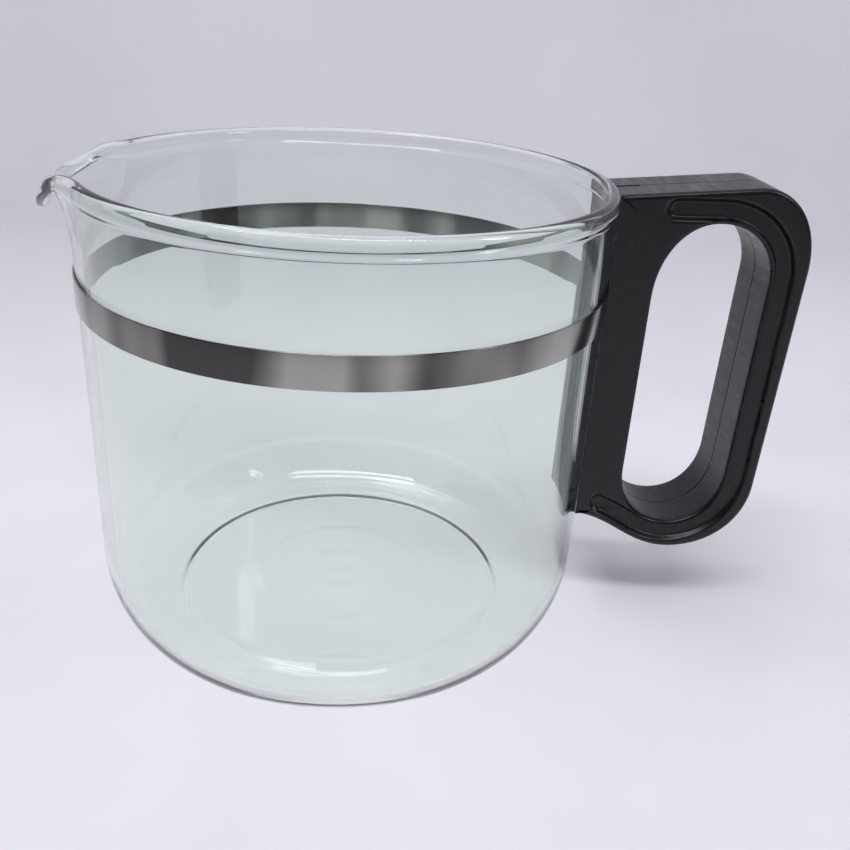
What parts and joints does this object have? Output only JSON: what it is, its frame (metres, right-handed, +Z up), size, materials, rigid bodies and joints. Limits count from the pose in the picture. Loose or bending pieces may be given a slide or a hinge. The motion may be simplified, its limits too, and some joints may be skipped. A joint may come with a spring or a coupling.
{
  "type": "glass coffee jug",
  "caption": "Straight glass pouring jug with a rolled lip, a steel strap clamped round its upper body and a black D-shaped moulded handle.",
  "frame": {"origin": "on the jug's axis, at the level of the table it stands on", "axes": "+Z up the jug's axis, +X through the handle, -X through the pouring lip"},
  "size_m": [0.2095, 0.1442, 0.1329],
  "materials": {
    "glass": "clear fire-polished",
    "strap_steel": "polished strip",
    "black_plastic": "moulded, satin",
    "screw_steel": "zinc plated",
    "brass": "turned"
  },
  "bodies": {
    "root": {"glass_jug": "glass", "steel_strap": "strap_steel", "handle": "black_plastic", "clamp_screw": "screw_steel", "threaded_insert": "brass"}
  },
  "joints": []
}
